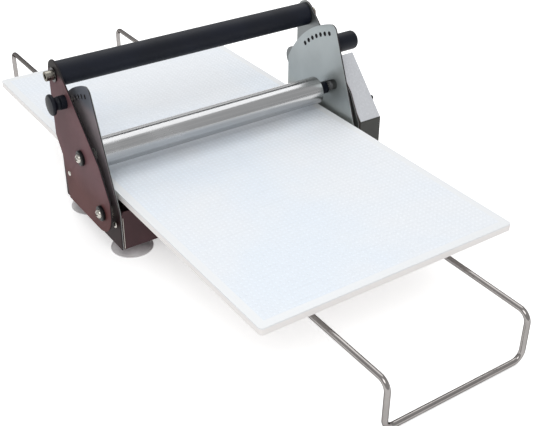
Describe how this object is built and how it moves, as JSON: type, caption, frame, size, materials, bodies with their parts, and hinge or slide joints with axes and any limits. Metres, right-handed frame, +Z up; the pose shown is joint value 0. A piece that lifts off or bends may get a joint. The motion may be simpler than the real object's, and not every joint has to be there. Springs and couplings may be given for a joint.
{
  "type": "manual dough sheeter",
  "caption": "Hand-operated dough sheeter: a sliding board runs under a free-turning roller whose height is set by a swinging handle frame with index holes.",
  "frame": {"origin": "middle of the bounding box, on the table the feet stand on", "axes": "+X along the roller to the side with the cover, +Y along the board's travel to the far end, +Z up"},
  "size_m": [0.3968, 0.84, 0.1975],
  "materials": {
    "board": "finely textured",
    "sheet_steel": "satin",
    "cover_steel": "satin",
    "screws": "bright",
    "dark_screw": "dark",
    "feet": "soft grey",
    "wire": "bright",
    "under_rollers": "plain",
    "black_plastic": "satin black",
    "grip": "satin black",
    "bearings": "plain white",
    "roller": "polished"
  },
  "bodies": {
    "base": {"left_plate": "sheet_steel", "right_plate": "sheet_steel", "base_tray": "sheet_steel", "side_screws": "screws", "foot_front_left": "feet", "foot_front_right": "feet", "foot_rear_left": "feet", "foot_rear_right": "feet", "wire_front": "wire", "wire_rear": "wire", "wire_sockets": "screws", "under_axles": "screws", "pivot_stud_left": "screws", "pivot_stud_right": "screws", "pivot_washer_left": "black_plastic", "pivot_washer_right": "black_plastic", "pivot_screw_left": "screws", "pivot_screw_right": "screws"},
    "board": {"board": "board"},
    "handle_frame": {"left_arm": "sheet_steel", "right_arm": "sheet_steel", "arm_rivets": "screws", "handle_bar": "grip", "handle_bolt_left": "screws", "handle_bolt_right": "screws", "handle_washers": "screws", "roller_axle": "screws", "axle_bush": "black_plastic", "axle_spacer_left": "bearings", "axle_spacer_right": "black_plastic", "axle_washer_left": "black_plastic", "axle_washer_right": "black_plastic", "axle_screw_left": "screws", "axle_screw_right": "screws", "plunger_sleeve": "black_plastic", "clamp_boss": "screws", "side_cover": "cover_steel", "cover_screw": "dark_screw"},
    "roller": {"roller_tube": "roller", "roller_plugs": "bearings"},
    "plunger": {"plunger_pin": "screws", "plunger_knob": "black_plastic"},
    "clamp": {"clamp_stud": "screws", "clamp_knob": "black_plastic"},
    "under_front": {"under_roller_front": "under_rollers"},
    "under_rear": {"under_roller_rear": "under_rollers"}
  },
  "joints": [
    {"name": "frame_swing", "type": "hinge", "parent": "base", "child": "handle_frame", "pos_m": [0, -0.05, 0.058], "axis": [1, 0, 0], "range_deg": [-8.56, 17.12]},
    {"name": "roller_spin", "type": "hinge", "parent": "handle_frame", "child": "roller", "pos_m": [0, -0.0094, 0.10525], "axis": [1, 0, 0], "continuous": true},
    {"name": "board_slide", "type": "slide", "parent": "base", "child": "board", "axis": [0, 1, 0], "range_m": [-0.2, 0.25]},
    {"name": "plunger_pull", "type": "slide", "parent": "handle_frame", "child": "plunger", "axis": [-1, 0, 0], "range_m": [0, 0.008], "stiffness_N_per_m": 800, "springref_m": -0.003},
    {"name": "clamp_turn", "type": "hinge", "parent": "handle_frame", "child": "clamp", "pos_m": [0, 0.01167, 0.14727], "axis": [1, 0, 0], "range_deg": [0, 180]},
    {"name": "under_front_spin", "type": "hinge", "parent": "base", "child": "under_front", "pos_m": [0, -0.038, 0.0662], "axis": [1, 0, 0], "continuous": true},
    {"name": "under_rear_spin", "type": "hinge", "parent": "base", "child": "under_rear", "pos_m": [0, 0.038, 0.0662], "axis": [1, 0, 0], "continuous": true}
  ]
}
